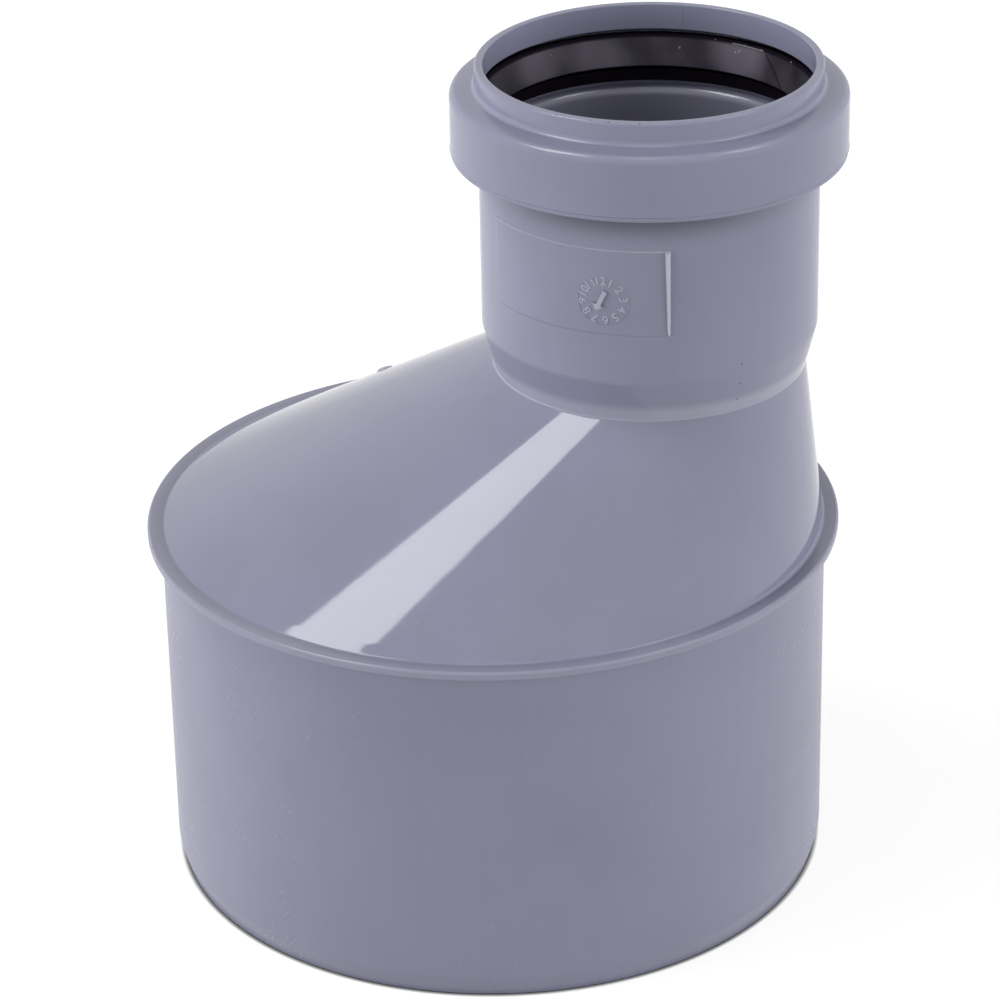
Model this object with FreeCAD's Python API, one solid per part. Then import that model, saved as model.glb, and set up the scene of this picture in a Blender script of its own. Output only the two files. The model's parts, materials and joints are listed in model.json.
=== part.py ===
import FreeCAD, Part
import math
import os

# Eccentric pipe reducer, 110 mm spigot to 50 mm ring-seal socket, in millimetres.
# Origin: centre of the spigot's open end. +Z: towards the socket. +X: the side the socket is offset to.

# Spigot, the plain end that slides into a 110 mm socket
spigot_radius = 55.0
spigot_wall = 2.7
spigot_length = 59.0
spigot_chamfer_length = 3.5
spigot_chamfer_angle = 15.0

# Collar, the ring that stops the spigot
collar_projection = 2.25
collar_thickness = 1.6
collar_edge_rounding = 0.5
collar_root_rounding = 0.4

# Eccentric cone between the spigot and the neck
eccentricity = 26.3
cone_base_inset = 0.4
cone_height = 29.1
cone_wall = 2.4
cone_root_rounding = 0.6
neck_wall = 2.05
neck_rounding = 1.0

# Taper from the neck to the socket barrel
taper_height = 7.1
taper_rounding = 4.0
pipe_stop_width = 2.0
pipe_stop_above_neck = 1.0
pipe_stop_height = 4.0

# Socket barrel, which takes a 50 mm pipe
small_pipe_radius = 25.0
socket_clearance = 0.2
barrel_wall = 1.85
barrel_length = 28.9
bore_edge_rounding = 1.0

# Bead, which holds the seal ring
groove_depth = 4.6
groove_height = 7.1
groove_roof_rise = 1.45
groove_rounding = 0.5
bead_side_wall = 1.7
bead_floor_wall = 1.7
bead_roof_wall = 1.6
bead_root_rounding = 0.6
bead_lower_rounding = 0.5
bead_upper_rounding = 1.3
shoulder_rise = 0.7

# Mouth lip above the bead
lip_height = 3.5
lip_wall = 1.1
mouth_clearance = 1.2
mouth_draft = 0.3
lip_root_rounding = 0.8
rim_outer_rounding = 0.5
rim_inner_rounding = 0.25

# Seal ring, a rubber ring with one lip that slants down onto the pipe
seal_side_clearance = 0.15
seal_roof_clearance = 0.3
seal_foot_thickness = 2.3
seal_shelf_width = 3.2
seal_lip_drop = 5.6
seal_lip_thickness = 0.9
seal_hollow_height = 4.0
seal_rounding = 0.25

# Raised plate on the barrel, thicker at its upper edge
plate_start_angle = -145.0
plate_end_angle = -77.0
plate_height = 14.3
plate_below_bead = 6.4
plate_upper_thickness = 0.22
plate_lower_thickness = 0.06

# Raised marking rib at the plate's end, wider and higher at its upper end
rib_upper_width = 0.85
rib_lower_width = 0.45
rib_upper_height = 0.9
rib_lower_height = 0.45
rib_crest_share = 0.2

# Sheared gate mark on the cone
gate_angle = 141.0
gate_way_up = 0.4
gate_radius = 1.1
gate_height = 0.5

# How far hidden ends run into the wall they join, and how far cutting shapes run past a face
sink = 0.4
cut_past = 1.0

# How near an edge lies to the circle it is looked up by
edge_tolerance = 0.01

# Heights above the spigot's open end
collar_top = spigot_length + collar_thickness
neck_level = collar_top + cone_height
taper_top = neck_level + taper_height
bead_bottom = taper_top + barrel_length
groove_floor = bead_bottom + bead_floor_wall
groove_roof_outer = groove_floor + groove_height
groove_roof_inner = groove_roof_outer + groove_roof_rise
shoulder_level = groove_roof_outer + bead_roof_wall
lip_root_level = shoulder_level + shoulder_rise
mouth_level = lip_root_level + lip_height

# Radii that follow from the two pipes and the walls
spigot_bore_radius = spigot_radius - spigot_wall
collar_radius = spigot_radius + collar_projection
cone_base_radius = spigot_radius - cone_base_inset
socket_bore_radius = small_pipe_radius + socket_clearance
neck_bore_radius = socket_bore_radius - pipe_stop_width
neck_radius = neck_bore_radius + neck_wall
barrel_radius = socket_bore_radius + barrel_wall
groove_radius = socket_bore_radius + groove_depth
bead_radius = groove_radius + bead_side_wall
mouth_root_radius = socket_bore_radius + mouth_clearance
mouth_radius = mouth_root_radius - mouth_draft
lip_radius = mouth_root_radius + lip_wall

# Slope of the cone's flattest side, which sets where its inner wall lies
cone_slope = cone_height / (cone_base_radius + eccentricity - neck_radius)
cone_wall_drop = cone_wall * math.hypot(1.0, cone_slope)
cone_bore_base = collar_top + (cone_base_radius - spigot_bore_radius) * cone_slope - cone_wall_drop
cone_bore_top = neck_level + (neck_radius - neck_bore_radius) * cone_slope - cone_wall_drop
pipe_stop_bottom = neck_level + pipe_stop_above_neck

up = FreeCAD.Vector(0, 0, 1)
socket_axis = FreeCAD.Vector(eccentricity, 0, 0)


def rounded_face(corners):
    """Face in the XZ plane from (radius, height, rounding) corners, with tangent arcs."""
    points = [FreeCAD.Vector(radius, 0, height) for radius, height, rounding in corners]
    ends = []
    arcs = []
    for index, (radius, height, rounding) in enumerate(corners):
        corner = points[index]
        to_last = (points[index - 1] - corner).normalize()
        to_next = (points[(index + 1) % len(corners)] - corner).normalize()
        half_angle = to_last.getAngle(to_next) / 2
        setback = rounding / math.tan(half_angle)
        ends.append((corner + to_last * setback, corner + to_next * setback))
        if rounding > 0:
            bisector = (to_last + to_next).normalize()
            middle = corner + bisector * (rounding / math.sin(half_angle) - rounding)
            arcs.append(Part.Arc(ends[index][0], middle, ends[index][1]).toShape())
        else:
            arcs.append(None)
    edges = []
    for index, arc in enumerate(arcs):
        if arc:
            edges.append(arc)
        next_end = ends[(index + 1) % len(ends)][0]
        edges.append(Part.LineSegment(ends[index][1], next_end).toShape())
    return Part.Face(Part.Wire(edges))


def turned(corners, axis_point=FreeCAD.Vector(0, 0, 0)):
    """Solid of revolution about the upright axis through axis_point."""
    solid = rounded_face(corners).revolve(FreeCAD.Vector(0, 0, 0), up, 360)
    solid.translate(axis_point)
    return solid


def eccentric_cone(base_radius, base_level, top_radius, top_level):
    """Ruled cone from a circle on the spigot's axis to one on the socket's axis."""
    base = Part.makeCircle(base_radius, FreeCAD.Vector(0, 0, base_level), up)
    top = Part.makeCircle(top_radius, socket_axis + up * top_level, up)
    return Part.makeLoft([Part.Wire(base), Part.Wire(top)], True, True)


def spigot_and_collar():
    chamfer_depth = spigot_chamfer_length * math.tan(math.radians(spigot_chamfer_angle))
    return turned([
        (0, 0, 0),
        (spigot_radius - chamfer_depth, 0, 0),
        (spigot_radius, spigot_chamfer_length, 0),
        (spigot_radius, spigot_length, collar_root_rounding),
        (collar_radius, spigot_length, collar_edge_rounding),
        (collar_radius, collar_top, collar_edge_rounding),
        (0, collar_top, 0),
    ])


def socket_outside():
    return turned([
        (0, neck_level, 0),
        (neck_radius, neck_level, 0),
        (barrel_radius, taper_top, taper_rounding),
        (barrel_radius, bead_bottom, bead_root_rounding),
        (bead_radius, bead_bottom, bead_lower_rounding),
        (bead_radius, shoulder_level, bead_upper_rounding),
        (lip_radius, lip_root_level, lip_root_rounding),
        (lip_radius, mouth_level, rim_outer_rounding),
        (0, mouth_level, 0),
    ], socket_axis)


def socket_inside():
    flare_level = mouth_level + cut_past
    flare_radius = mouth_radius + rim_inner_rounding + cut_past
    return turned([
        (0, cone_bore_top, 0),
        (neck_bore_radius, cone_bore_top, 0),
        (neck_bore_radius, pipe_stop_bottom, 0),
        (socket_bore_radius, pipe_stop_bottom + pipe_stop_height, 0),
        (socket_bore_radius, groove_floor, bore_edge_rounding),
        (groove_radius, groove_floor, groove_rounding),
        (groove_radius, groove_roof_outer, groove_rounding),
        (mouth_root_radius, groove_roof_inner, 0),
        (mouth_radius, mouth_level, rim_inner_rounding),
        (flare_radius, mouth_level, 0),
        (flare_radius, flare_level, 0),
        (0, flare_level, 0),
    ], socket_axis)


def inside_space():
    """Everything that is open inside the reducer, from the spigot's end to the mouth."""
    spigot_bore = Part.makeCylinder(
        spigot_bore_radius, cone_bore_base + cut_past, FreeCAD.Vector(0, 0, -cut_past), up)
    cone_bore = eccentric_cone(spigot_bore_radius, cone_bore_base, neck_bore_radius, cone_bore_top)
    return spigot_bore.fuse([cone_bore, socket_inside()])


def circle_edge(solid, radius, level):
    """The edges of a horizontal circle of the given radius and height."""
    return [
        edge for edge in solid.Edges
        if abs(edge.BoundBox.ZMin - level) < edge_tolerance
        and abs(edge.BoundBox.ZMax - level) < edge_tolerance
        and abs(edge.BoundBox.XLength - 2 * radius) < edge_tolerance
    ]


def outer_form():
    cone = eccentric_cone(cone_base_radius, collar_top, neck_radius, neck_level)
    solid = spigot_and_collar().fuse([cone, socket_outside()]).removeSplitter()
    solid = solid.makeFillet(neck_rounding, circle_edge(solid, neck_radius, neck_level))
    return solid.makeFillet(cone_root_rounding, circle_edge(solid, cone_base_radius, collar_top))


def raised_plate():
    upper = bead_bottom - plate_below_bead
    lower = upper - plate_height
    section = Part.Face(Part.makePolygon([
        FreeCAD.Vector(barrel_radius - sink, 0, lower),
        FreeCAD.Vector(barrel_radius + plate_lower_thickness, 0, lower),
        FreeCAD.Vector(barrel_radius + plate_upper_thickness, 0, upper),
        FreeCAD.Vector(barrel_radius - sink, 0, upper),
        FreeCAD.Vector(barrel_radius - sink, 0, lower),
    ]))
    plate = section.revolve(FreeCAD.Vector(0, 0, 0), up, plate_end_angle - plate_start_angle)
    plate.rotate(FreeCAD.Vector(0, 0, 0), up, plate_start_angle)
    plate.translate(socket_axis)
    return plate


def rib_section(width, height, level):
    """Trapezium across the rib, with its far side on the plate's end."""
    crest = width * rib_crest_share
    inset = (width - crest) / 2
    inner = barrel_radius - sink
    outer = barrel_radius + height
    return Part.makePolygon([
        FreeCAD.Vector(inner, -width, level),
        FreeCAD.Vector(outer, -width + inset, level),
        FreeCAD.Vector(outer, -inset, level),
        FreeCAD.Vector(inner, 0, level),
        FreeCAD.Vector(inner, -width, level),
    ])


def marking_rib():
    upper = bead_bottom - plate_below_bead
    rib = Part.makeLoft([
        rib_section(rib_lower_width, rib_lower_height, upper - plate_height),
        rib_section(rib_upper_width, rib_upper_height, upper),
    ], True, True)
    rib.rotate(FreeCAD.Vector(0, 0, 0), up, plate_end_angle)
    rib.translate(socket_axis)
    return rib


def gate_mark():
    """Stub of the moulding gate, square to the cone's wall."""
    way = FreeCAD.Vector(math.cos(math.radians(gate_angle)), math.sin(math.radians(gate_angle)), 0)
    foot = way * cone_base_radius + up * collar_top
    head = socket_axis + way * neck_radius + up * neck_level
    ruling = (head - foot).normalize()
    across = FreeCAD.Vector(-way.y, way.x, 0)
    outward = across.cross(ruling).normalize()
    centre = foot + (head - foot) * gate_way_up
    return Part.makeCylinder(gate_radius, sink + gate_height, centre - outward * sink, outward)


def reducer_body():
    solid = outer_form().fuse([raised_plate(), marking_rib(), gate_mark()])
    return solid.cut(inside_space())


def lip_seal():
    """Ring on the groove's floor, with its lip as it lies on a 50 mm pipe."""
    outer = groove_radius - seal_side_clearance
    roof_outer = groove_roof_outer - seal_roof_clearance
    roof_slope = groove_roof_rise / (groove_radius - mouth_root_radius)
    shelf_radius = outer - seal_shelf_width
    roof_inner = roof_outer + (outer - shelf_radius) * roof_slope
    foot_radius = outer - seal_foot_thickness
    tip_level = roof_inner - seal_lip_drop
    return turned([
        (foot_radius, groove_floor, 0),
        (outer, groove_floor, groove_rounding + seal_side_clearance),
        (outer, roof_outer, groove_rounding),
        (shelf_radius, roof_inner, seal_rounding),
        (small_pipe_radius, tip_level, seal_rounding),
        (small_pipe_radius + seal_lip_thickness, tip_level - seal_rounding, seal_rounding),
        (foot_radius, groove_floor + seal_hollow_height, seal_rounding),
    ], socket_axis)


def save(shape, node):
    solid = shape.Solids[0]
    print(node, "solids", len(shape.Solids), "valid", solid.isValid(), "volume", round(solid.Volume, 1))
    solid.exportStep("parts/" + node + ".step")


os.makedirs("parts", exist_ok=True)
save(reducer_body(), "reducer_body")
save(lip_seal(), "lip_seal")
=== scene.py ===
import bmesh
import bpy
import json
import math
import numpy as np
from mathutils import Matrix, Vector


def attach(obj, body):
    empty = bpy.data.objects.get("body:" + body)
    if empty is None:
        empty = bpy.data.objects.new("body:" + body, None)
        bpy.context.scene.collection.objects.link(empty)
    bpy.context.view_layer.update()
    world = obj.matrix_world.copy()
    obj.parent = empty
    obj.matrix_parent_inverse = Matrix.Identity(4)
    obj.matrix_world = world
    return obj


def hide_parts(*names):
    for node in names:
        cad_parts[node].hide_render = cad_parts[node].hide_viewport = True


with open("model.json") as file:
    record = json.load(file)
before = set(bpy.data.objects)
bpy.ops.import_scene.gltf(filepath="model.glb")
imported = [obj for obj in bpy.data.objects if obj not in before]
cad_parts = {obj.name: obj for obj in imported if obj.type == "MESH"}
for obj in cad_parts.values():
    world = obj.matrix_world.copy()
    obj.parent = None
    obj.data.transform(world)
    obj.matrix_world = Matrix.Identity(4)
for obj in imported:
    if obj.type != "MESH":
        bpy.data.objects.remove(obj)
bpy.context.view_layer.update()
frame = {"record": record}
mm = 0.001

# Driving sizes of the body, in millimetres
spigot_radius = 55.0
spigot_wall = 2.7
spigot_length = 59.0
chamfer_length = 3.5
chamfer_angle = math.radians(15.0)
chamfer_rounding = 1.5
end_rounding = 0.25
collar_projection = 2.25
collar_thickness = 1.6
collar_edge_rounding = 0.5
collar_root_rounding = 0.4
cone_base_inset = 0.4
cone_height = 29.1
cone_wall = 2.4
cone_root_rounding = 0.6
foot_way_up = 0.045
foot_inset = 0.07
foot_rounding = 25.0
neck_wall = 2.05
neck_rounding = 0.5
taper_height = 7.1
taper_rounding = 4.0
pipe_stop_width = 2.0
pipe_stop_above_neck = 1.0
pipe_stop_height = 4.0
pipe_stop_rounding = 0.4
socket_clearance = 0.2
barrel_wall = 1.85
barrel_length = 28.9
bore_edge_rounding = 1.64
bore_land_drop = 1.0
bore_land_width = 1.8
bore_step_width = 0.2
groove_depth = 4.6
groove_height = 7.1
groove_roof_rise = 1.45
groove_rounding = 0.5
bead_side_wall = 1.7
bead_floor_wall = 1.7
bead_roof_wall = 1.6
bead_root_rounding = 0.6
bead_lower_rounding = 0.3
bead_upper_rounding = 1.3
shoulder_rise = 0.7
lip_height = 3.5
lip_wall = 1.1
mouth_clearance = 1.2
mouth_draft = 0.3
lip_root_rounding = 0.8
mouth_root_rounding = 0.15
rim_outer_rounding = 0.5
rim_inner_rounding = 0.25

# Parting line of the mould, a fine ridge near the bead's lower edge
parting_above_edge = 0.95
parting_ridge_height = 0.07
parting_ridge_width = 0.16
parting_step = 0.08
parting_rounding = 0.03

# Seal ring
small_pipe_radius = 25.0
seal_side_clearance = 0.15
seal_roof_clearance = 0.7
seal_foot_thickness = 3.35
seal_nose_width = 0.6
seal_nose_drop = 0.3
seal_shelf_width = 3.2
seal_lip_drop = 5.2
seal_lip_thickness = 0.9
seal_hollow_height = 4.0
seal_rounding = 0.25
seal_shelf_rounding = 0.8
seal_foot_rounding = 0.05

# Raised plate on the barrel; angles are counted from +X about the socket's axis
plate_start_angle = -145.0
plate_end_angle = -77.0
plate_height = 14.3
plate_below_bead = 6.4
plate_upper_thickness = 0.22
plate_lower_thickness = 0.06
plate_edge_width = 0.16
plate_columns = 60
plate_rows = 24

# Marking rib along the plate's end
rib_upper_width = 0.95
rib_lower_width = 0.5
rib_aside = 0.45
rib_upper_height = 0.95
rib_lower_height = 0.4
rib_end_length = 0.45
rib_columns = 12
rib_rows = 60

# Month dial on the plate, with plain numbers
dial_angle = -98.3
dial_level = 110.8
dial_radius = 4.1
dial_line_width = 0.2
dial_circle_columns = 96
dial_circle_rows = 8
number_circle_radius = 3.2
number_height = 1.35
number_relief = 0.14
number_rounding = 0.04
dial_turn = math.radians(7.5)
pointer_turn = math.radians(155.0)
pointer_aside = -0.34
pointer_length = 3.55
pointer_shaft_width = 0.72
pointer_head_width = 2.0
pointer_head_length = 0.98
pointer_height = 0.5
pointer_rounding = 0.08

# Sheared gate stub on the cone
gate_angle = 141.0
gate_way_up = 0.4
gate_radius = 1.4
gate_height = 0.4
gate_lean = 0.35
gate_unevenness = 0.04
gate_steps = 32

# Weld seam inside the mouth
seam_angle = 85.5
seam_width = 0.25
seam_height = 0.05

# Finish of the spigot, the cone and the socket, in that order, with depths in millimetres
roughness = (0.24, 0.07, 0.15)
edge_gloss = (0.06, 0.14, 0.08)
ripple_depth = (0.03, 0.009, 0.03)
grain_depth = (0.0006, 0.0002, 0.0005)
turning_depth = (0.0, 0.012, 0.0)

# Gloss where a wall faces the viewer; towards its outline it falls to the edge gloss
face_gloss = 0.5

# Refraction of the plastic
plastic_ior = 1.49

# Ripples, grain and clouds of the plastic, and the turning marks seen in one patch of the cone
ripple_size = 6.0
grain_size = 0.35
cloud_size = 22.0
flow_size = 2.5
scratch_depth = 0.002
scratch_roughness = 0.1
turning_spacing = 0.9
turning_place = (-123.0, 0.3)
turning_reach = 9.0
turning_elsewhere = 0.02

# How strongly painted light on collar and bore, painted shade below the bead, scratches, nicks and dirt
# change the colour, as shares
collar_painted_light = 0.12
bore_painted_light = 0.3
bead_shade = 0.8
scratch_share = 0.25
nick_share = 0.22
dirt_share = 0.7

# How far relief is made paler, as a painted highlight
rib_painted_highlight = 0.75
circle_painted_highlight = 0.08
dial_painted_highlight = 0.42
edge_painted_highlight = 0.55
gate_painted_highlight = 0.45

# Pale nicks on the cone, as an angle and a share of the way up
nick_places = ((-100.3, 0.13), (-99.0, 0.15), (-98.7, 0.2), (-104.0, 0.16))
nick_radius = 0.22

# Bloom, with patches of painted sheen, crumbs and a thread of dust on the seal, by angle and level
painted_sheen_patches = ((62.0, 133.2, 0.75), (116.0, 131.2, 0.5), (140.0, 132.5, 0.45), (92.0, 132.0, 0.08))
sheen_reach = 7.0
bloom_cloud_size = 7.0
bloom_everywhere = 0.24
crumbs = ((73.0, 134.9), (61.0, 134.9), (54.0, 134.8), (38.0, 134.8), (63.0, 133.7), (64.5, 133.4),
          (86.0, 133.0))
crumb_radius = 0.22
thread_start_angle = 53.0
thread_end_angle = 66.0
thread_dots = 28
thread_level = 134.7
thread_radius = 0.15

# Painted shade of a crease down the seal's lip, from an angle and level to another
crease_top = (51.0, 134.2)
crease_foot = (39.5, 130.0)
crease_dots = 30
crease_radius = 0.3

# Finish of the rubber, and how strongly dust, debris and the crease's painted shade show on it
rubber_grain_size = 0.25
rubber_grain_depth = 0.01
seal_gloss = 0.34
seal_roughness = 0.52
bloom_roughness = 0.65
dust_share = 0.4
debris_share = 0.55
crease_shade_share = 0.55

# Dark specks on the cone, the rim and the barrel; angles as for the plate
dirt_cone_angle = 167.0
dirt_cone_way_up = 0.48
dirt_rim_angles = (-114.0, -102.0, -96.0, -86.0)
dirt_rim_inset = 0.3
dirt_barrel_angle = -51.0
dirt_barrel_levels = (98.5, 95.0, 92.0)
dirt_radius = 0.2

# How far relief is sunk into the wall that carries it
relief_sink = 0.2

# Height of the shade below the bead
bead_shade_height = 6.5

# How finely turned walls are divided
wall_columns = 288
arc_steps = 8

# The socket's axis, from the frame
mounts = {mount["name"]: mount for mount in frame["record"]["mounts"]}
eccentricity = mounts["socket"]["pos_m"][0] / mm

# Heights above the spigot's open end, in millimetres
collar_top = spigot_length + collar_thickness
neck_level = collar_top + cone_height
taper_top = neck_level + taper_height
bead_bottom = taper_top + barrel_length
groove_floor = bead_bottom + bead_floor_wall
groove_roof_outer = groove_floor + groove_height
groove_roof_inner = groove_roof_outer + groove_roof_rise
shoulder_level = groove_roof_outer + bead_roof_wall
lip_root_level = shoulder_level + shoulder_rise
mouth_level = lip_root_level + lip_height
plate_bottom = bead_bottom - plate_below_bead - plate_height
pipe_stop_bottom = neck_level + pipe_stop_above_neck
pipe_stop_top = pipe_stop_bottom + pipe_stop_height

# Radii that follow from the two pipes and the walls, in millimetres
spigot_end_radius = spigot_radius - chamfer_length * math.tan(chamfer_angle)
spigot_bore_radius = spigot_radius - spigot_wall
collar_radius = spigot_radius + collar_projection
cone_base_radius = spigot_radius - cone_base_inset
socket_bore_radius = small_pipe_radius + socket_clearance
neck_bore_radius = socket_bore_radius - pipe_stop_width
neck_radius = neck_bore_radius + neck_wall
barrel_radius = socket_bore_radius + barrel_wall
groove_radius = socket_bore_radius + groove_depth
bead_radius = groove_radius + bead_side_wall
mouth_root_radius = socket_bore_radius + mouth_clearance
mouth_radius = mouth_root_radius - mouth_draft
lip_radius = mouth_root_radius + lip_wall

# Seal ring's outer wall, and the two ends of its lip's sloping face
seal_radius = groove_radius - seal_side_clearance
seal_roof_level = groove_roof_outer - seal_roof_clearance
seal_shelf_radius = seal_radius - seal_shelf_width
groove_roof_slope = groove_roof_rise / (groove_radius - mouth_root_radius)
seal_shelf_level = seal_roof_level + seal_shelf_width * groove_roof_slope
seal_tip_level = seal_shelf_level - seal_lip_drop

# Inner wall of the cone, set in by its thickness on the flattest side
cone_slope = cone_height / (cone_base_radius + eccentricity - neck_radius)
cone_wall_drop = cone_wall * math.hypot(1.0, cone_slope)
cone_bore_base = collar_top + (cone_base_radius - spigot_bore_radius) * cone_slope - cone_wall_drop
cone_bore_top = neck_level + (neck_radius - neck_bore_radius) * cone_slope - cone_wall_drop

# Camera, at the photograph's angle
camera_place = Vector((100.36, -600.46, 364.77)) * mm
camera_aim = Vector((1.25, 0, 61.92)) * mm
camera_roll = math.radians(-1.16)
camera_lens = 147.54

# Colours, as linear values
grey_plastic_colour = (0.205, 0.208, 0.292)
# Dark colour of the dirt specks, also used as painted shade below the bead
dirt_and_shade_colour = (0.03, 0.025, 0.03)
# Paler plastic, painted as a highlight on relief and as light on the collar and the bore
painted_light_colour = (0.5, 0.49, 0.57)
black_rubber_colour = (0.011, 0.008, 0.014)
rubber_bloom_and_sheen_colour = (0.16, 0.145, 0.19)
rubber_sheen_colour = (0.92, 0.86, 1.0)
dust_colour = (0.4, 0.4, 0.42)
floor_colour = (0.34, 0.34, 0.34)

# Lamps: what they are aimed at, and how far from it they stand, in metres
light_aim = Vector((0.01, 0, 0.08))
light_distance = 1.0

# Light of the room: azimuth and brightness at each side, and the light all round
room_left = (-69.5, 9.0)
room_right = (82.0, 7.9)
room_side_narrowness = 6.0
room_all_round = 1.48
room_light_rise = -0.2

# Paper floor: its glow, half its width in metres, and the shadow where the part touches it
floor_glow = 0.8
floor_reach = 4.0
contact_shadow_width = 0.9
contact_shadow_depth = 2.6


def arc_points(before, corner, after, rounding):
    """Points and directions of the tangent arc that rounds a corner, for all columns at once."""
    to_before = before - corner
    to_before /= np.linalg.norm(to_before, axis=1, keepdims=True)
    to_after = after - corner
    to_after /= np.linalg.norm(to_after, axis=1, keepdims=True)
    half_angle = np.arccos(np.clip((to_before * to_after).sum(1, keepdims=True), -1, 1)) / 2
    bisector = to_before + to_after
    bisector /= np.linalg.norm(bisector, axis=1, keepdims=True)
    centre = corner + bisector * rounding / np.sin(half_angle)
    sweep = np.pi / 2 - half_angle
    along = to_after - to_before
    along /= np.linalg.norm(along, axis=1, keepdims=True)
    points = []
    directions = []
    for step in range(arc_steps + 1):
        turn = sweep * (2 * step / arc_steps - 1)
        points.append(centre + rounding * (np.sin(turn) * along - np.cos(turn) * bisector))
        directions.append(np.cos(turn) * along + np.sin(turn) * bisector)
    return points, directions


def turned_wall(name, corners):
    """Closed wall round the upright axes, from (share of the offset, radius, height, rounding) corners.

    The corners run up the outside and down the inside, or the same way round a ring's section.
    """
    turn = np.linspace(0, 2 * np.pi, wall_columns, endpoint=False)
    lines = []
    for share, radius, level, rounding in corners:
        line = np.empty((wall_columns, 3))
        line[:, 0] = share * eccentricity + radius * np.cos(turn)
        line[:, 1] = radius * np.sin(turn)
        line[:, 2] = level
        lines.append(line)
    rows = []
    directions = []
    for index, corner in enumerate(corners):
        arc = arc_points(lines[index - 1], lines[index], lines[(index + 1) % len(corners)], corner[3])
        rows += arc[0]
        directions += arc[1]
    points = np.array(rows)
    around = np.roll(points, -1, axis=1) - np.roll(points, 1, axis=1)
    normals = np.cross(around, np.array(directions))
    normals /= np.linalg.norm(normals, axis=2, keepdims=True)
    mesh = smooth_mesh(name, points * mm, ring_faces(*points.shape[:2]))
    mesh.normals_split_custom_set_from_vertices(normals.reshape(-1, 3).tolist())
    return add_object(name, mesh)


def ring_faces(row_count, column_count):
    """Faces of a grid that closes on itself both ways."""
    faces = []
    for row in range(row_count):
        above = (row + 1) % row_count
        for column in range(column_count):
            beside = (column + 1) % column_count
            faces.append((row * column_count + column, row * column_count + beside,
                          above * column_count + beside, above * column_count + column))
    return faces


def smooth_mesh(name, points, faces):
    mesh = bpy.data.meshes.new(name)
    mesh.from_pydata(points.reshape(-1, 3).tolist(), [], faces)
    mesh.shade_smooth()
    return mesh


def add_object(name, mesh):
    piece = bpy.data.objects.new(name, mesh)
    bpy.context.scene.collection.objects.link(piece)
    return piece


def add_form(name, form, sharp_angle):
    """Object from a bmesh, smooth but for edges sharper than an angle in degrees."""
    mesh = bpy.data.meshes.new(name)
    form.to_mesh(mesh)
    form.free()
    mesh.shade_smooth()
    mesh.set_sharp_from_angle(angle=math.radians(sharp_angle))
    return add_object(name, mesh)


def add_piece(piece, material):
    """Makes an object part of the model: it rides on the one body and has a finish."""
    piece.data.materials.append(material)
    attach(piece, "root")


def reducer_shell():
    low_cone_radius = cone_base_radius + (neck_radius - cone_base_radius) * foot_way_up
    ridge_level = bead_bottom + parting_above_edge
    land_radius = socket_bore_radius + bore_land_width
    lower_bead_radius = bead_radius - parting_step
    outside = [
        (0, spigot_end_radius, 0, end_rounding),
        (0, spigot_radius, chamfer_length, chamfer_rounding),
        (0, spigot_radius, spigot_length, collar_root_rounding),
        (0, collar_radius, spigot_length, collar_edge_rounding),
        (0, collar_radius, collar_top, collar_edge_rounding),
        (0, cone_base_radius - foot_inset, collar_top, cone_root_rounding),
        (foot_way_up, low_cone_radius, collar_top + foot_way_up * cone_height, foot_rounding),
        (1, neck_radius, neck_level, neck_rounding),
        (1, barrel_radius, taper_top, taper_rounding),
        (1, barrel_radius, bead_bottom, bead_root_rounding),
        (1, lower_bead_radius, bead_bottom, bead_lower_rounding),
        (1, lower_bead_radius, ridge_level - parting_ridge_width, parting_rounding),
        (1, bead_radius + parting_ridge_height, ridge_level, parting_rounding),
        (1, bead_radius, ridge_level + parting_ridge_width, parting_rounding),
        (1, bead_radius, shoulder_level, bead_upper_rounding),
        (1, lip_radius, lip_root_level, lip_root_rounding),
        (1, lip_radius, mouth_level, rim_outer_rounding),
    ]
    inside = [
        (1, mouth_radius, mouth_level, rim_inner_rounding),
        (1, mouth_root_radius, groove_roof_inner, mouth_root_rounding),
        (1, groove_radius, groove_roof_outer, groove_rounding),
        (1, groove_radius, groove_floor, groove_rounding),
        (1, land_radius + bore_step_width, groove_floor, seal_foot_rounding),
        (1, land_radius, groove_floor - bore_land_drop, seal_foot_rounding),
        (1, socket_bore_radius, groove_floor - bore_land_drop, bore_edge_rounding),
        (1, socket_bore_radius, pipe_stop_top, pipe_stop_rounding),
        (1, neck_bore_radius, pipe_stop_bottom, pipe_stop_rounding),
        (1, neck_bore_radius, cone_bore_top, pipe_stop_rounding),
        (0, spigot_bore_radius, cone_bore_base, pipe_stop_rounding),
        (0, spigot_bore_radius, 0, end_rounding),
    ]
    return turned_wall("reducer_shell", outside + inside)


def seal_ring():
    foot_radius = seal_radius - seal_foot_thickness
    return turned_wall("seal_ring", [
        (1, foot_radius, groove_floor - seal_nose_drop, seal_foot_rounding),
        (1, foot_radius + seal_nose_width, groove_floor - seal_nose_drop, seal_foot_rounding),
        (1, foot_radius + seal_nose_width, groove_floor, seal_foot_rounding),
        (1, seal_radius, groove_floor, groove_rounding + seal_side_clearance),
        (1, seal_radius, groove_roof_outer - seal_side_clearance, groove_rounding),
        (1, seal_shelf_radius, seal_shelf_level, seal_shelf_rounding),
        (1, small_pipe_radius, seal_tip_level, seal_rounding),
        (1, small_pipe_radius + seal_lip_thickness, seal_tip_level - seal_rounding, seal_rounding),
        (1, foot_radius, groove_floor + seal_hollow_height, seal_rounding),
    ])


def bend(points, angle, level, radius, facing=1):
    """Lays (along, up, out) points on a round wall; facing is -1 on the wall's inside."""
    points = np.asarray(points, dtype=float)
    turn = math.radians(angle) + facing * points[..., 0] / radius
    reach = radius + facing * points[..., 2]
    placed = [eccentricity + reach * np.cos(turn), reach * np.sin(turn), level + points[..., 1]]
    return np.stack(placed, axis=-1) * mm


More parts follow.
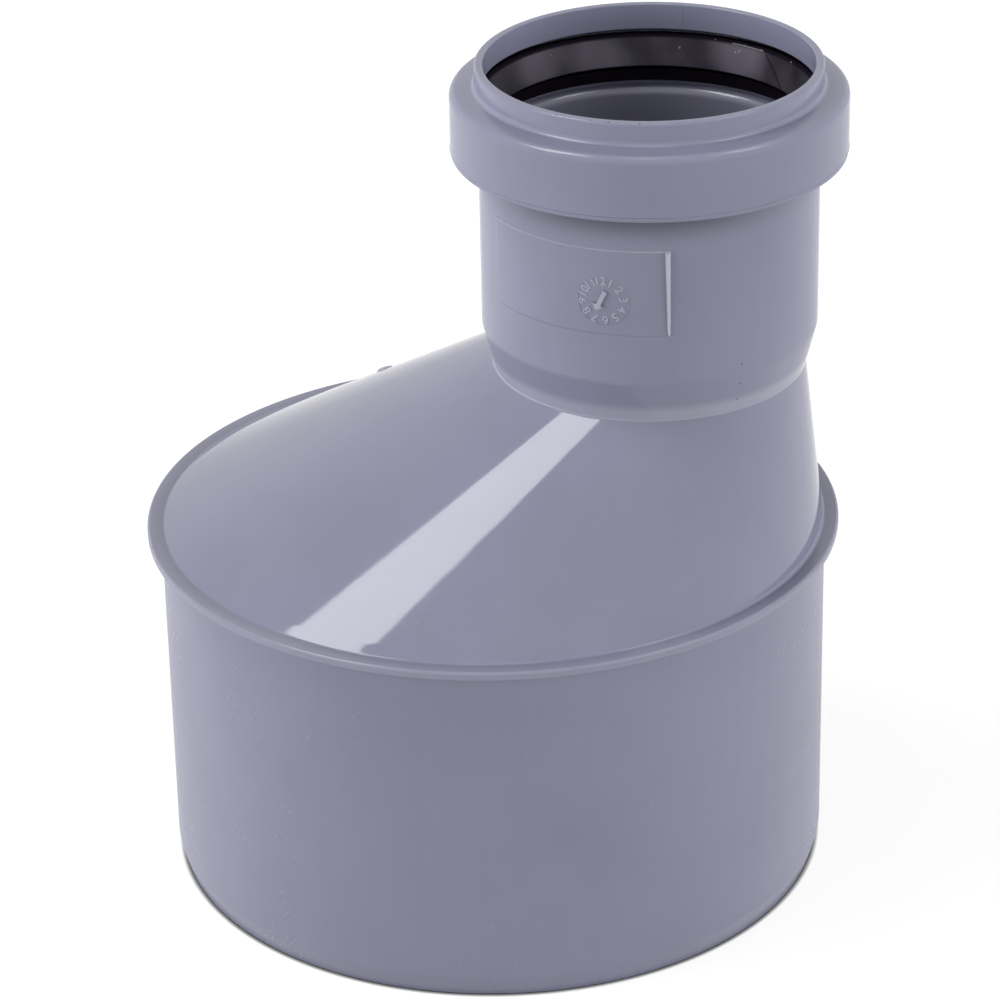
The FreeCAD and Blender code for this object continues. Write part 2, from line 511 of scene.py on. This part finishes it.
def slab_faces(row_count, column_count):
    """Faces of a closed slab between an upper and a lower grid."""
    def upper(row, column):
        return row * column_count + column

    def lower(row, column):
        return row_count * column_count + upper(row, column)

    faces = []
    for row in range(row_count - 1):
        for column in range(column_count - 1):
            faces.append((upper(row, column), upper(row, column + 1),
                          upper(row + 1, column + 1), upper(row + 1, column)))
            faces.append((lower(row, column), lower(row + 1, column),
                          lower(row + 1, column + 1), lower(row, column + 1)))
    last_row, last_column = row_count - 1, column_count - 1
    for column in range(last_column):
        faces.append((upper(0, column), lower(0, column), lower(0, column + 1), upper(0, column + 1)))
        faces.append((upper(last_row, column + 1), lower(last_row, column + 1),
                      lower(last_row, column), upper(last_row, column)))
    for row in range(last_row):
        faces.append((upper(row + 1, 0), lower(row + 1, 0), lower(row, 0), upper(row, 0)))
        faces.append((upper(row, last_column), lower(row, last_column),
                      lower(row + 1, last_column), upper(row + 1, last_column)))
    return faces


def relief(name, top, angle, level, radius, facing=1):
    """Closed relief on a round wall, under a grid of (along, up, out) points."""
    root = top.copy()
    root[..., 2] = -relief_sink
    points = np.concatenate([bend(grid, angle, level, radius, facing) for grid in (top, root)])
    mesh = smooth_mesh(name, points, slab_faces(*top.shape[:2]))
    mesh.set_sharp_from_angle(angle=math.radians(60))
    return add_object(name, mesh)


def edge_rise(distance, width):
    """From 0 at an edge to 1 a width away from it, rounded over."""
    return np.sin(np.pi / 2 * np.clip(distance / width, 0, 1))


def edged_steps(length, edge, count):
    """Positions along a length, closer together in the two edges."""
    edge_steps = np.linspace(0, edge, 5)
    middle = np.linspace(edge, length - edge, count)[1:-1]
    return np.concatenate([edge_steps, middle, length - edge_steps[::-1]])


def plate_thickness(up):
    """Thickness of the plate at a height above its lower edge."""
    return plate_lower_thickness + (plate_upper_thickness - plate_lower_thickness) * up / plate_height


def raised_plate():
    length = math.radians(plate_end_angle - plate_start_angle) * barrel_radius
    along, up = np.meshgrid(edged_steps(length, plate_edge_width, plate_columns),
                            edged_steps(plate_height, plate_edge_width, plate_rows))
    rise = edge_rise(np.minimum(along, length - along), plate_edge_width)
    rise *= edge_rise(np.minimum(up, plate_height - up), plate_edge_width)
    top = np.stack([along, up, rise * plate_thickness(up)], axis=-1)
    return relief("raised_plate", top, plate_start_angle, plate_bottom, barrel_radius)


def rub_upper_edge(plate):
    """Paints a highlight on the narrow faces along the plate's upper edge, with a paler copy of the
    plastic.
    """
    plate.data.materials.append(plastic_material(edge_painted_highlight))
    edge_level = (plate_bottom + plate_height - plate_edge_width) * mm
    for face in plate.data.polygons:
        if face.center.z > edge_level:
            face.material_index = 1


def marking_rib():
    """Half-round rib along the plate's end, wider and higher at the top."""
    across, way_up = np.meshgrid(np.linspace(-1, 1, rib_columns + 1), np.linspace(0, 1, rib_rows + 1))
    way_up = (1 - np.cos(np.pi * way_up)) / 2
    up = way_up * plate_height
    to_end = np.clip(np.minimum(up, plate_height - up) / rib_end_length, 0, 1)
    end_rise = np.sqrt(1 - (1 - to_end) ** 2)
    width = rib_lower_width + (rib_upper_width - rib_lower_width) * way_up
    height = rib_lower_height + (rib_upper_height - rib_lower_height) * way_up
    along = width / 2 * (across * end_rise - 1) + rib_aside
    top = np.stack([along, up, height * end_rise * (1 - across ** 2)], axis=-1)
    return relief("marking_rib", top, plate_end_angle, plate_bottom, barrel_radius)


def dial_circle():
    """Fine raised line round the dial."""
    turn = np.linspace(0, 2 * np.pi, dial_circle_columns, endpoint=False)
    section = np.linspace(0, 2 * np.pi, dial_circle_rows, endpoint=False)[:, None]
    reach = dial_radius + dial_line_width / 2 * np.cos(section)
    out = plate_thickness(dial_level - plate_bottom) + dial_line_width / 2 * np.sin(section) + 0 * turn
    points = bend(np.stack([reach * np.cos(turn), reach * np.sin(turn), out], axis=-1),
                  dial_angle, dial_level, barrel_radius)
    return add_object("dial_circle", smooth_mesh("dial_circle", points, ring_faces(*points.shape[:2])))


def raise_on_dial(name, form):
    """Turns a flat bmesh in millimetres into a piece bent round the barrel at the dial."""
    base = plate_thickness(dial_level - plate_bottom)
    for vertex in form.verts:
        along, up, out = vertex.co
        vertex.co = bend((along, up, out + base), dial_angle, dial_level, barrel_radius)
    return add_form(name, form, sharp_angle=35)


def number_mesh(number):
    """Flat mesh of a plain number, as high as the dial's numbers are."""
    text = bpy.data.curves.new("number", "FONT")
    text.body = str(number)
    text.align_x = "CENTER"
    text.align_y = "CENTER"
    text.size = 1.0
    text.resolution_u = 4
    holder = bpy.data.objects.new("number", text)
    flat = bpy.data.meshes.new_from_object(holder)
    tall = max(vertex.co.y for vertex in flat.vertices) - min(vertex.co.y for vertex in flat.vertices)
    bpy.data.meshes.remove(flat)
    text.size = number_height / tall
    text.extrude = number_relief - number_rounding
    text.bevel_depth = number_rounding
    text.bevel_resolution = 1
    mesh = bpy.data.meshes.new_from_object(holder)
    bpy.data.objects.remove(holder)
    return mesh


def dial_numbers():
    """Plain numbers 1 to 12, their tops outwards."""
    form = bmesh.new()
    for number in range(1, 13):
        mesh = number_mesh(number)
        turn = dial_turn - math.radians(30 * number)
        mesh.transform(Matrix.Rotation(turn, 4, "Z") @ Matrix.Translation((0, number_circle_radius, 0)))
        form.from_mesh(mesh)
        bpy.data.meshes.remove(mesh)
    bmesh.ops.remove_doubles(form, verts=form.verts, dist=0.001)
    return raise_on_dial("dial_numbers", form)


def dial_pointer():
    """Arrow in the middle of the dial."""
    half = pointer_length / 2
    neck = half - pointer_head_length
    shaft, barb = pointer_shaft_width / 2, pointer_head_width / 2
    outline = [(-shaft, -half), (shaft, -half), (shaft, neck), (barb, neck),
               (0, half), (-barb, neck), (-shaft, neck)]
    form = bmesh.new()
    base = form.faces.new([form.verts.new((along, up, -relief_sink)) for along, up in outline])
    grown = bmesh.ops.extrude_face_region(form, geom=[base])
    top = [item for item in grown["geom"] if isinstance(item, bmesh.types.BMVert)]
    bmesh.ops.translate(form, verts=top, vec=(0, 0, pointer_height + relief_sink))
    bmesh.ops.recalc_face_normals(form, faces=form.faces)
    rim = [edge for edge in form.edges if all(vertex in top for vertex in edge.verts)]
    bmesh.ops.bevel(form, geom=rim, offset=pointer_rounding, segments=3, profile=0.5, affect="EDGES")
    bmesh.ops.rotate(form, verts=form.verts, cent=(0, 0, 0), matrix=Matrix.Rotation(pointer_turn, 3, "Z"))
    bmesh.ops.translate(form, verts=form.verts, vec=(pointer_aside, 0, 0))
    return raise_on_dial("dial_pointer", form)


def cone_spot(angle, way_up):
    """A place on the cone's wall, with the directions round it, up it and out of it."""
    way = Vector((math.cos(math.radians(angle)), math.sin(math.radians(angle)), 0))
    foot = way * cone_base_radius + Vector((0, 0, collar_top))
    head = Vector((eccentricity, 0, neck_level)) + way * neck_radius
    around = Vector((-way.y, way.x, 0))
    up = (head - foot).normalized()
    outward = around.cross(up).normalized()
    return foot.lerp(head, way_up), around, up, outward


def gate_stub():
    """Stub of the moulding gate, a low bump that leans down the cone."""
    centre, around, up, outward = cone_spot(gate_angle, gate_way_up)
    profile = [(1.0, -relief_sink), (1.0, 0.0), (0.85, gate_height * 0.35), (0.65, gate_height * 0.75),
               (0.4, gate_height * 0.97), (0.15, gate_height)]
    form = bmesh.new()
    rings = []
    for share, height in profile:
        ring = []
        for step in range(gate_steps):
            turn = 2 * math.pi * step / gate_steps
            rise = height * (1 - gate_lean * share * math.sin(turn)) if height > 0 else height
            reach = gate_radius * share * (1 + gate_unevenness * math.sin(3 * turn + 1))
            aside = around * math.cos(turn) + up * math.sin(turn)
            ring.append(form.verts.new((centre + aside * reach + outward * rise) * mm))
        rings.append(ring)
    for lower, upper in zip(rings, rings[1:]):
        for step in range(gate_steps):
            beside = (step + 1) % gate_steps
            form.faces.new((lower[step], lower[beside], upper[beside], upper[step]))
    form.faces.new(rings[-1])
    form.faces.new(rings[0][::-1])
    bmesh.ops.recalc_face_normals(form, faces=form.faces)
    return add_form("gate_stub", form, sharp_angle=60)


def mouth_seam():
    """Faint weld seam down the inside of the mouth."""
    tall = mouth_level - rim_inner_rounding - groove_roof_inner
    across, up = np.meshgrid(np.linspace(-1, 1, 7), np.linspace(0, tall, 5))
    draft = (mouth_root_radius - mouth_radius) * up / tall
    rise = seam_height * (1 - across ** 2) + draft
    top = np.stack([across * seam_width / 2, up, rise], axis=-1)
    return relief("mouth_seam", top, seam_angle, groove_roof_inner, mouth_root_radius, facing=-1)


class Graph:
    """Short way to add and link the nodes of one material or world."""

    def __init__(self, tree):
        self.tree = tree

    def add(self, kind, **settings):
        node = self.tree.nodes.new("ShaderNode" + kind)
        for name, value in settings.items():
            setattr(node, name, value)
        return node

    def feed(self, socket, value):
        """Links an output to a socket, or sets a plain value on it."""
        if isinstance(value, bpy.types.NodeSocket):
            self.tree.links.new(value, socket)
        else:
            socket.default_value = value

    def math(self, operation, first, second=0.0):
        """Output of one arithmetic node."""
        node = self.add("Math", operation=operation)
        self.feed(node.inputs[0], first)
        self.feed(node.inputs[1], second)
        return node.outputs[0]

    def vector(self, operation, first, second=None):
        """Output of one vector arithmetic node; SCALE takes a number as its second value."""
        node = self.add("VectorMath", operation=operation)
        self.feed(node.inputs[0], first)
        if operation == "SCALE":
            self.feed(node.inputs["Scale"], second)
        elif second is not None:
            self.feed(node.inputs[1], second)
        return node.outputs["Value" if operation == "DISTANCE" else "Vector"]

    def product(self, first, *others):
        """Output of several values multiplied together."""
        for other in others:
            first = self.math("MULTIPLY", first, other)
        return first

    def total(self, first, *others):
        """Output of several values added together."""
        for other in others:
            first = self.math("ADD", first, other)
        return first

    def parts(self, vector):
        """The X, Y and Z outputs of a vector."""
        node = self.add("SeparateXYZ")
        self.feed(node.inputs[0], vector)
        return node.outputs

    def end(self, kind, shader):
        """Leads the last shader to the output of a material or world."""
        self.feed(self.add("Output" + kind).inputs["Surface"], shader)


def new_graph(holder):
    """Empty node graph of a new material or world."""
    holder.use_nodes = True
    holder.node_tree.nodes.clear()
    return Graph(holder.node_tree)


def place_in_mm(graph):
    """The surface point in the part's own frame, in millimetres."""
    place = graph.add("TexCoord")
    return graph.vector("SCALE", place.outputs["Object"], 1 / mm)


def noise(graph, place, size, detail=2.0, roughness=0.5):
    """Soft random value round 0.5, with features of the given size in millimetres."""
    texture = graph.add("TexNoise")
    graph.feed(texture.inputs["Vector"], place)
    graph.feed(texture.inputs["Scale"], 1 / size)
    graph.feed(texture.inputs["Detail"], detail)
    graph.feed(texture.inputs["Roughness"], roughness)
    return texture.outputs["Fac"]


def ramp(graph, value, low, high, start=0.0, end=1.0):
    """Goes smoothly from start to end while the value goes from low to high."""
    node = graph.add("MapRange", interpolation_type="SMOOTHSTEP")
    for name, number in (("From Min", low), ("From Max", high), ("To Min", start), ("To Max", end)):
        graph.feed(node.inputs[name], number)
    graph.feed(node.inputs["Value"], value)
    return node.outputs["Result"]


def blend_colours(graph, share, first, second):
    node = graph.add("Mix", data_type="RGBA")
    graph.feed(node.inputs["Factor"], share)
    for socket, colour in ((node.inputs["A"], first), (node.inputs["B"], second)):
        graph.feed(socket, (*colour, 1) if isinstance(colour, tuple) else colour)
    return node.outputs["Result"]


def stretched(graph, place, x, y, z):
    return graph.vector("MULTIPLY", place, (x, y, z))


def specks(graph, place, spacing, size, share):
    """Small round specks, in only a share of the cells they are scattered over."""
    cells = graph.add("TexVoronoi")
    graph.feed(cells.inputs["Vector"], place)
    graph.feed(cells.inputs["Scale"], 1 / spacing)
    chance = graph.add("SeparateColor")
    graph.feed(chance.inputs[0], cells.outputs["Color"])
    inside = ramp(graph, cells.outputs["Distance"], size / spacing, 0.5 * size / spacing)
    return graph.product(inside, graph.math("LESS_THAN", chance.outputs[0], share))


def scratches(graph, place, direction, width, seed):
    """Sparse fine lines that run in one direction round the walls."""
    turned = graph.add("VectorRotate", rotation_type="EULER_XYZ")
    graph.feed(turned.inputs["Vector"], graph.vector("ADD", place, (seed, seed, seed)))
    graph.feed(turned.inputs["Rotation"], direction)
    lines = noise(graph, stretched(graph, turned.outputs[0], 0.02, 1, 1), width, detail=0.0)
    patches = noise(graph, graph.vector("ADD", place, (-seed, seed, 0)), 14.0, detail=1.0)
    return graph.product(ramp(graph, lines, 0.76, 0.8), ramp(graph, patches, 0.58, 0.66))


def at_places(graph, place, places, radius):
    """1 within a radius of any of the places, given in millimetres."""
    total = None
    for spot in places:
        away = graph.vector("DISTANCE", place, tuple(spot))
        near = ramp(graph, away, radius, 0.6 * radius)
        total = near if total is None else graph.math("MAXIMUM", total, near)
    return total


def on_barrel(angle, level):
    """A point on the wall of the barrel or of the taper below it, in millimetres."""
    below = max(taper_top - level, 0) / taper_height
    radius = barrel_radius + (neck_radius - barrel_radius) * below
    return tuple(bend((0, 0, 0), angle, level, radius) / mm)


def on_rim(angle):
    """A point on the rounded outer edge of the mouth's rim, in millimetres."""
    return tuple(bend((0, 0, 0), angle, mouth_level - 0.1, lip_radius - dirt_rim_inset) / mm)


def by_part(graph, place, values):
    """A value for each of the spigot, the cone and the socket, with soft changes between them."""
    spigot, cone, socket = values
    level = graph.parts(place)["Z"]
    to_cone = ramp(graph, level, collar_top - 0.5, collar_top + 0.5, 0, cone - spigot)
    to_socket = ramp(graph, level, neck_level, neck_level + 2.0, spigot, spigot + socket - cone)
    return graph.total(to_cone, to_socket)


def soft_patch(graph, place, spot, reach):
    """From 1 at a spot to 0 at a distance from it, in millimetres."""
    return ramp(graph, graph.vector("DISTANCE", place, tuple(spot)), reach, 0.3 * reach)


def turning_marks(graph, place):
    """Fine level lines that turning left on the mould's cone, seen in one patch."""
    lines = noise(graph, stretched(graph, place, 0.08, 0.08, 1), turning_spacing, detail=2.0)
    patch = soft_patch(graph, place, cone_spot(*turning_place)[0], turning_reach)
    shown = graph.total(graph.product(patch, 1 - turning_elsewhere), turning_elsewhere)
    return graph.product(lines, shown)


def level_and_reach(graph, place):
    """Height of a point, and its distance from the socket's axis."""
    flat = graph.vector("MULTIPLY", place, (1, 1, 0))
    return graph.parts(place)["Z"], graph.vector("DISTANCE", flat, (eccentricity, 0, 0))


def under_bead(graph, place):
    """1 close below the bead, where little light comes in, to 0 lower down; less at the sides."""
    level, reach = level_and_reach(graph, place)
    near = ramp(graph, level, bead_bottom - bead_shade_height, bead_bottom)
    outside = ramp(graph, reach, socket_bore_radius + 0.5, socket_bore_radius + 1.0)
    below = graph.math("LESS_THAN", level, bead_bottom + 0.05)
    ahead = graph.math("MAXIMUM", graph.product(graph.parts(place)["Y"], -1 / barrel_radius), 0)
    share = ramp(graph, graph.math("POWER", ahead, 3), 0, 1, 0.35, 1)
    return graph.product(near, share, outside, below)


def inside_bore(graph, place):
    """1 on the bore's wall below the seal, where painted light makes the plastic paler."""
    level, reach = level_and_reach(graph, place)
    inside = ramp(graph, reach, socket_bore_radius + 0.9, socket_bore_radius + 0.4)
    return graph.product(inside, graph.math("GREATER_THAN", level, neck_level))


def on_collar(graph, place):
    """1 on the collar, where painted light makes the plastic paler."""
    middle = spigot_length + collar_thickness / 2
    away = graph.math("ABSOLUTE", graph.math("SUBTRACT", graph.parts(place)["Z"], middle))
    beside = graph.vector("DISTANCE", graph.vector("MULTIPLY", place, (1, 1, 0)), (0, 0, 0))
    outside = ramp(graph, beside, spigot_radius, collar_radius - 0.6)
    return graph.product(ramp(graph, away, 1.2, 0.8), outside)


def plastic_colour(graph, place, marks, painted_highlight):
    """Grey with faint clouds, scuffs, pale nicks and a few dark specks; painted shade below the bead,
    painted light on the collar and the bore, and a painted highlight that makes relief paler.
    """
    clouds = noise(graph, place, cloud_size, detail=3.0)
    flow = noise(graph, stretched(graph, place, 1, 1, 0.06), flow_size, detail=3.0)
    tone = graph.total(graph.product(clouds, 0.8), graph.product(flow, 0.2))
    darker = tuple(0.96 * part for part in grey_plastic_colour)
    lighter = tuple(1.04 * part for part in grey_plastic_colour)
    scuffed = tuple(1.2 * part for part in grey_plastic_colour)
    nicks = at_places(graph, place, [cone_spot(*spot)[0] for spot in nick_places], nick_radius)
    dirt = at_places(graph, place, dirt_places, dirt_radius)
    dirt = graph.math("MAXIMUM", dirt, specks(graph, place, spacing=9.0, size=0.18, share=0.04))
    # Layers: painted highlight, painted light on collar and bore, painted shade below the bead, then
    # scratches, nicks and dirt
    layers = ((painted_highlight, painted_light_colour),
              (graph.product(on_collar(graph, place), collar_painted_light), painted_light_colour),
              (graph.product(inside_bore(graph, place), bore_painted_light), painted_light_colour),
              (graph.product(under_bead(graph, place), bead_shade), dirt_and_shade_colour),
              (graph.product(marks, scratch_share), scuffed),
              (graph.product(nicks, nick_share), dust_colour),
              (graph.product(dirt, dirt_share), dirt_and_shade_colour))
    colour = blend_colours(graph, ramp(graph, tone, 0.3, 0.7), darker, lighter)
    for share, layer in layers:
        colour = blend_colours(graph, share, colour, layer)
    return colour


def plastic_roughness(graph, place, grain, marks):
    """Satin spigot, polished cone, glossier socket."""
    uneven = graph.product(by_part(graph, place, roughness), ramp(graph, grain, 0.25, 0.75, 0.9, 1.1))
    return graph.total(uneven, graph.product(marks, scratch_roughness))


def plastic_height(graph, place, grain, marks):
    """Height of the ripples, grain and marks, in millimetres."""
    ripples = noise(graph, place, ripple_size, detail=1.0)
    return graph.total(graph.product(ripples, by_part(graph, place, ripple_depth)),
                       graph.product(grain, by_part(graph, place, grain_depth)),
                       graph.product(turning_marks(graph, place), by_part(graph, place, turning_depth)),
                       graph.product(marks, -scratch_depth))


def bumped(graph, height):
    """Normal of a surface with a height in millimetres."""
    bump = graph.add("Bump")
    graph.feed(bump.inputs["Distance"], mm)
    graph.feed(bump.inputs["Height"], height)
    return bump.outputs[0]


def plastic_material(painted_highlight):
    """Grey moulded plastic, made paler by a share of painted highlight."""
    material = bpy.data.materials.new("grey_plastic")
    graph = new_graph(material)
    place = place_in_mm(graph)
    grain = noise(graph, place, grain_size, detail=2.0)
    marks = graph.math("MAXIMUM",
                       scratches(graph, place, direction=(0.3, 0.9, 0.4), width=0.2, seed=3.0),
                       scratches(graph, place, direction=(1.1, -0.5, 1.3), width=0.16, seed=11.0))
    shader = graph.add("BsdfPrincipled")
    graph.feed(shader.inputs["Base Color"], plastic_colour(graph, place, marks, painted_highlight))
    graph.feed(shader.inputs["Roughness"], plastic_roughness(graph, place, grain, marks))
    graph.feed(shader.inputs["IOR"], plastic_ior)
    facing = graph.add("LayerWeight").outputs["Facing"]
    gloss = ramp(graph, facing, 0.5, 0.9, face_gloss, by_part(graph, place, edge_gloss))
    graph.feed(shader.inputs["Specular IOR Level"], gloss)
    graph.feed(shader.inputs["Normal"], bumped(graph, plastic_height(graph, place, grain, marks)))
    graph.end("Material", shader.outputs["BSDF"])
    return material


def seal_spot(angle, level):
    """A point on the sloping face of the seal's lip, in millimetres."""
    way_up = (level - seal_tip_level) / (seal_shelf_level - seal_tip_level)
    radius = small_pipe_radius + (seal_shelf_radius - small_pipe_radius) * way_up
    return tuple(bend((0, 0, 0), angle, level, radius) / mm)


def seal_face_share(graph, place):
    """1 on the lip's sloping face, 0 on the shelf above it and on the foot behind it."""
    level = graph.parts(place)["Z"]
    below_shelf = ramp(graph, level, seal_shelf_level - 0.4, seal_shelf_level - 0.9)
    above_tip = ramp(graph, level, seal_tip_level - 0.1, seal_tip_level + 0.3)
    return graph.product(below_shelf, above_tip)


def seal_bloom(graph, place):
    """Pale bloom of the rubber everywhere a little, and painted sheen in a few wide patches."""
    clouds = noise(graph, stretched(graph, place, 1, 1, 0.5), bloom_cloud_size, detail=3.0)
    bloom_and_sheen = ramp(graph, clouds, 0.35, 0.7, 0, bloom_everywhere)
    for angle, level, strength in painted_sheen_patches:
        patch = soft_patch(graph, place, seal_spot(angle, level), sheen_reach)
        bloom_and_sheen = graph.total(bloom_and_sheen, graph.product(patch, strength))
    return graph.product(graph.math("MINIMUM", bloom_and_sheen, 1.0), seal_face_share(graph, place))


def seal_debris(graph, place):
    """Pale crumbs and a thread of dust that lie on the seal."""
    pieces = at_places(graph, place, [seal_spot(*spot) for spot in crumbs], crumb_radius)
    thread = np.linspace(thread_start_angle, thread_end_angle, thread_dots)
    dots = at_places(graph, place, [seal_spot(angle, thread_level) for angle in thread], thread_radius)
    return graph.math("MAXIMUM", pieces, dots)


def seal_crease(graph, place):
    """Painted shade of a crease that slants down the lip's face."""
    ways = np.linspace(0, 1, crease_dots)
    spots = [seal_spot(crease_top[0] + way * (crease_foot[0] - crease_top[0]),
                       crease_top[1] + way * (crease_foot[1] - crease_top[1])) for way in ways]
    return at_places(graph, place, spots, crease_radius)


def rubber_material():
    """Black rubber with a satin bloom and patches of painted sheen, fine grain, dust and a few crumbs."""
    material = bpy.data.materials.new("black_rubber")
    graph = new_graph(material)
    place = place_in_mm(graph)
    bloom_and_sheen = seal_bloom(graph, place)
    grain = noise(graph, place, rubber_grain_size, detail=2.0)
    dust = graph.product(specks(graph, place, spacing=1.6, size=0.12, share=0.12), dust_share)
    pale = graph.math("MAXIMUM", dust, graph.product(seal_debris(graph, place), debris_share))
    # Painted shade in the crease: less bloom and less gloss there
    outside_crease_shade = graph.math("SUBTRACT", 1, graph.product(seal_crease(graph, place), crease_shade_share))
    shown_bloom_and_sheen = graph.product(bloom_and_sheen, outside_crease_shade)
    body = blend_colours(graph, shown_bloom_and_sheen, black_rubber_colour, rubber_bloom_and_sheen_colour)
    shader = graph.add("BsdfPrincipled")
    graph.feed(shader.inputs["Base Color"], blend_colours(graph, pale, body, dust_colour))
    graph.feed(shader.inputs["Roughness"], ramp(graph, bloom_and_sheen, 0, 1, seal_roughness, bloom_roughness))
    gloss = ramp(graph, seal_face_share(graph, place), 0, 1, 0.0, seal_gloss)
    graph.feed(shader.inputs["Specular IOR Level"], graph.product(gloss, outside_crease_shade))
    graph.feed(shader.inputs["Specular Tint"], (*rubber_sheen_colour, 1))
    graph.feed(shader.inputs["Normal"], bumped(graph, graph.product(grain, rubber_grain_depth)))
    graph.end("Material", shader.outputs["BSDF"])
    return material


def seen_directly(graph):
    """1 where the camera, a reflection or a see-through ray meets the surface."""
    path = graph.add("LightPath")
    glossy = graph.math("MAXIMUM", path.outputs["Is Camera Ray"], path.outputs["Is Glossy Ray"])
    return graph.math("MAXIMUM", glossy, path.outputs["Is Transmission Ray"])


def floor_material():
    """White paper with a close, soft shadow where the object touches it."""
    material = bpy.data.materials.new("floor_paper")
    graph = new_graph(material)
    openness = graph.add("AmbientOcclusion", samples=8)
    graph.feed(openness.inputs["Distance"], contact_shadow_width * mm)
    open_share = graph.math("POWER", openness.outputs["AO"], contact_shadow_depth)
    paper = graph.add("BsdfDiffuse")
    graph.feed(paper.inputs["Color"], graph.vector("SCALE", floor_colour, open_share))
    glow = graph.add("Emission")
    graph.feed(glow.inputs["Strength"], graph.product(open_share, floor_glow, seen_directly(graph)))
    both = graph.add("AddShader")
    graph.feed(both.inputs[0], paper.outputs[0])
    graph.feed(both.inputs[1], glow.outputs[0])
    graph.end("Material", both.outputs[0])
    return material


def make_floor():
    corners = [(-1, -1), (1, -1), (1, 1), (-1, 1)]
    mesh = bpy.data.meshes.new("floor")
    mesh.from_pydata([(x * floor_reach, y * floor_reach, 0) for x, y in corners], [], [(0, 1, 2, 3)])
    mesh.materials.append(floor_material())
    floor = add_object("floor", mesh)


def side_light(graph, parts, azimuth, brightness):
    """Soft light from one side; azimuth 0 is the side of the camera, 90 the side of +X."""
    turn = math.radians(azimuth)
    across = graph.product(parts["X"], math.sin(turn))
    ahead = graph.product(parts["Y"], -math.cos(turn))
    towards = graph.math("MAXIMUM", graph.total(across, ahead), 0)
    return graph.product(graph.math("POWER", towards, room_side_narrowness), brightness)


def lit_room(graph):
    """Light of the room: bright at both sides, weak in front and behind, dark overhead."""
    parts = graph.parts(graph.add("TexCoord").outputs["Generated"])
    above_middle = graph.math("SUBTRACT", parts["Z"], room_light_rise)
    away = graph.math("MINIMUM", graph.math("POWER", above_middle, 2), 1)
    level = graph.math("POWER", graph.math("SUBTRACT", 1, away), 2)
    left, right = side_light(graph, parts, *room_left), side_light(graph, parts, *room_right)
    return graph.product(level, graph.total(left, right, room_all_round))


def make_world():
    world = bpy.data.worlds.new("studio")
    graph = new_graph(world)
    room, white = graph.add("Background"), graph.add("Background")
    for light in (room, white):
        graph.feed(light.inputs["Color"], (1, 1, 1, 1))
    graph.feed(room.inputs["Strength"], lit_room(graph))
    mix = graph.add("MixShader")
    graph.feed(mix.inputs[0], seen_directly(graph))
    graph.feed(mix.inputs[1], room.outputs[0])
    graph.feed(mix.inputs[2], white.outputs[0])
    graph.end("World", mix.outputs[0])
    bpy.context.scene.world = world


def soft_box(name, azimuth, elevation, width, height, brightness):
    """Area lamp aimed at the object. Azimuth 0 is the side of the camera, 90 the side of +X."""
    turn, rise = math.radians(azimuth), math.radians(elevation)
    away = Vector((math.sin(turn) * math.cos(rise), -math.cos(turn) * math.cos(rise), math.sin(rise)))
    lamp = bpy.data.lights.new(name, "AREA")
    lamp.shape = "RECTANGLE"
    lamp.size = width
    lamp.size_y = height
    lamp.energy = brightness * math.pi * width * height
    holder = bpy.data.objects.new(name, lamp)
    holder.location = light_aim + away * light_distance
    holder.rotation_euler = away.to_track_quat("Z", "Y").to_euler()
    holder.visible_camera = False
    bpy.context.scene.collection.objects.link(holder)


def make_lamps():
    """One soft box at each side for the walls' bright lines, and a weak one overhead."""
    soft_box("left_box", azimuth=-76, elevation=60, width=0.35, height=0.4, brightness=7.6)
    soft_box("right_box", azimuth=96, elevation=60, width=0.3, height=0.3, brightness=4.2)
    soft_box("top_box", azimuth=0, elevation=86, width=0.25, height=0.25, brightness=3.0)


def make_camera():
    camera = bpy.data.objects.new("camera", bpy.data.cameras.new("camera"))
    camera.data.lens = camera_lens
    camera.data.sensor_width = 36.0
    camera.data.clip_start = 0.01
    camera.location = camera_place
    aim = (camera_aim - camera_place).to_track_quat("-Z", "Y").to_matrix()
    roll = Matrix.Rotation(camera_roll, 3, "Z")
    camera.rotation_euler = (aim @ roll).to_euler()
    bpy.context.scene.collection.objects.link(camera)
    bpy.context.scene.camera = camera


dirt_places = [cone_spot(dirt_cone_angle, dirt_cone_way_up)[0]]
dirt_places += [on_rim(angle) for angle in dirt_rim_angles]
dirt_places += [on_barrel(dirt_barrel_angle, level) for level in dirt_barrel_levels]
plastic = plastic_material(0.0)
shell = reducer_shell()
add_piece(shell, plastic)
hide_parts("reducer_body")
add_piece(mouth_seam(), plastic)
# Relief pieces get paler copies of the plastic, a painted highlight
for make, painted_highlight in ((marking_rib, rib_painted_highlight), (dial_circle, circle_painted_highlight), (dial_numbers, dial_painted_highlight),
                     (dial_pointer, dial_painted_highlight), (gate_stub, gate_painted_highlight)):
    add_piece(make(), plastic_material(painted_highlight))
plate = raised_plate()
add_piece(plate, plastic)
rub_upper_edge(plate)
ring = seal_ring()
add_piece(ring, rubber_material())
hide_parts("lip_seal")
make_floor()
make_world()
make_lamps()
make_camera()
bpy.context.scene.view_settings.view_transform = "Standard"
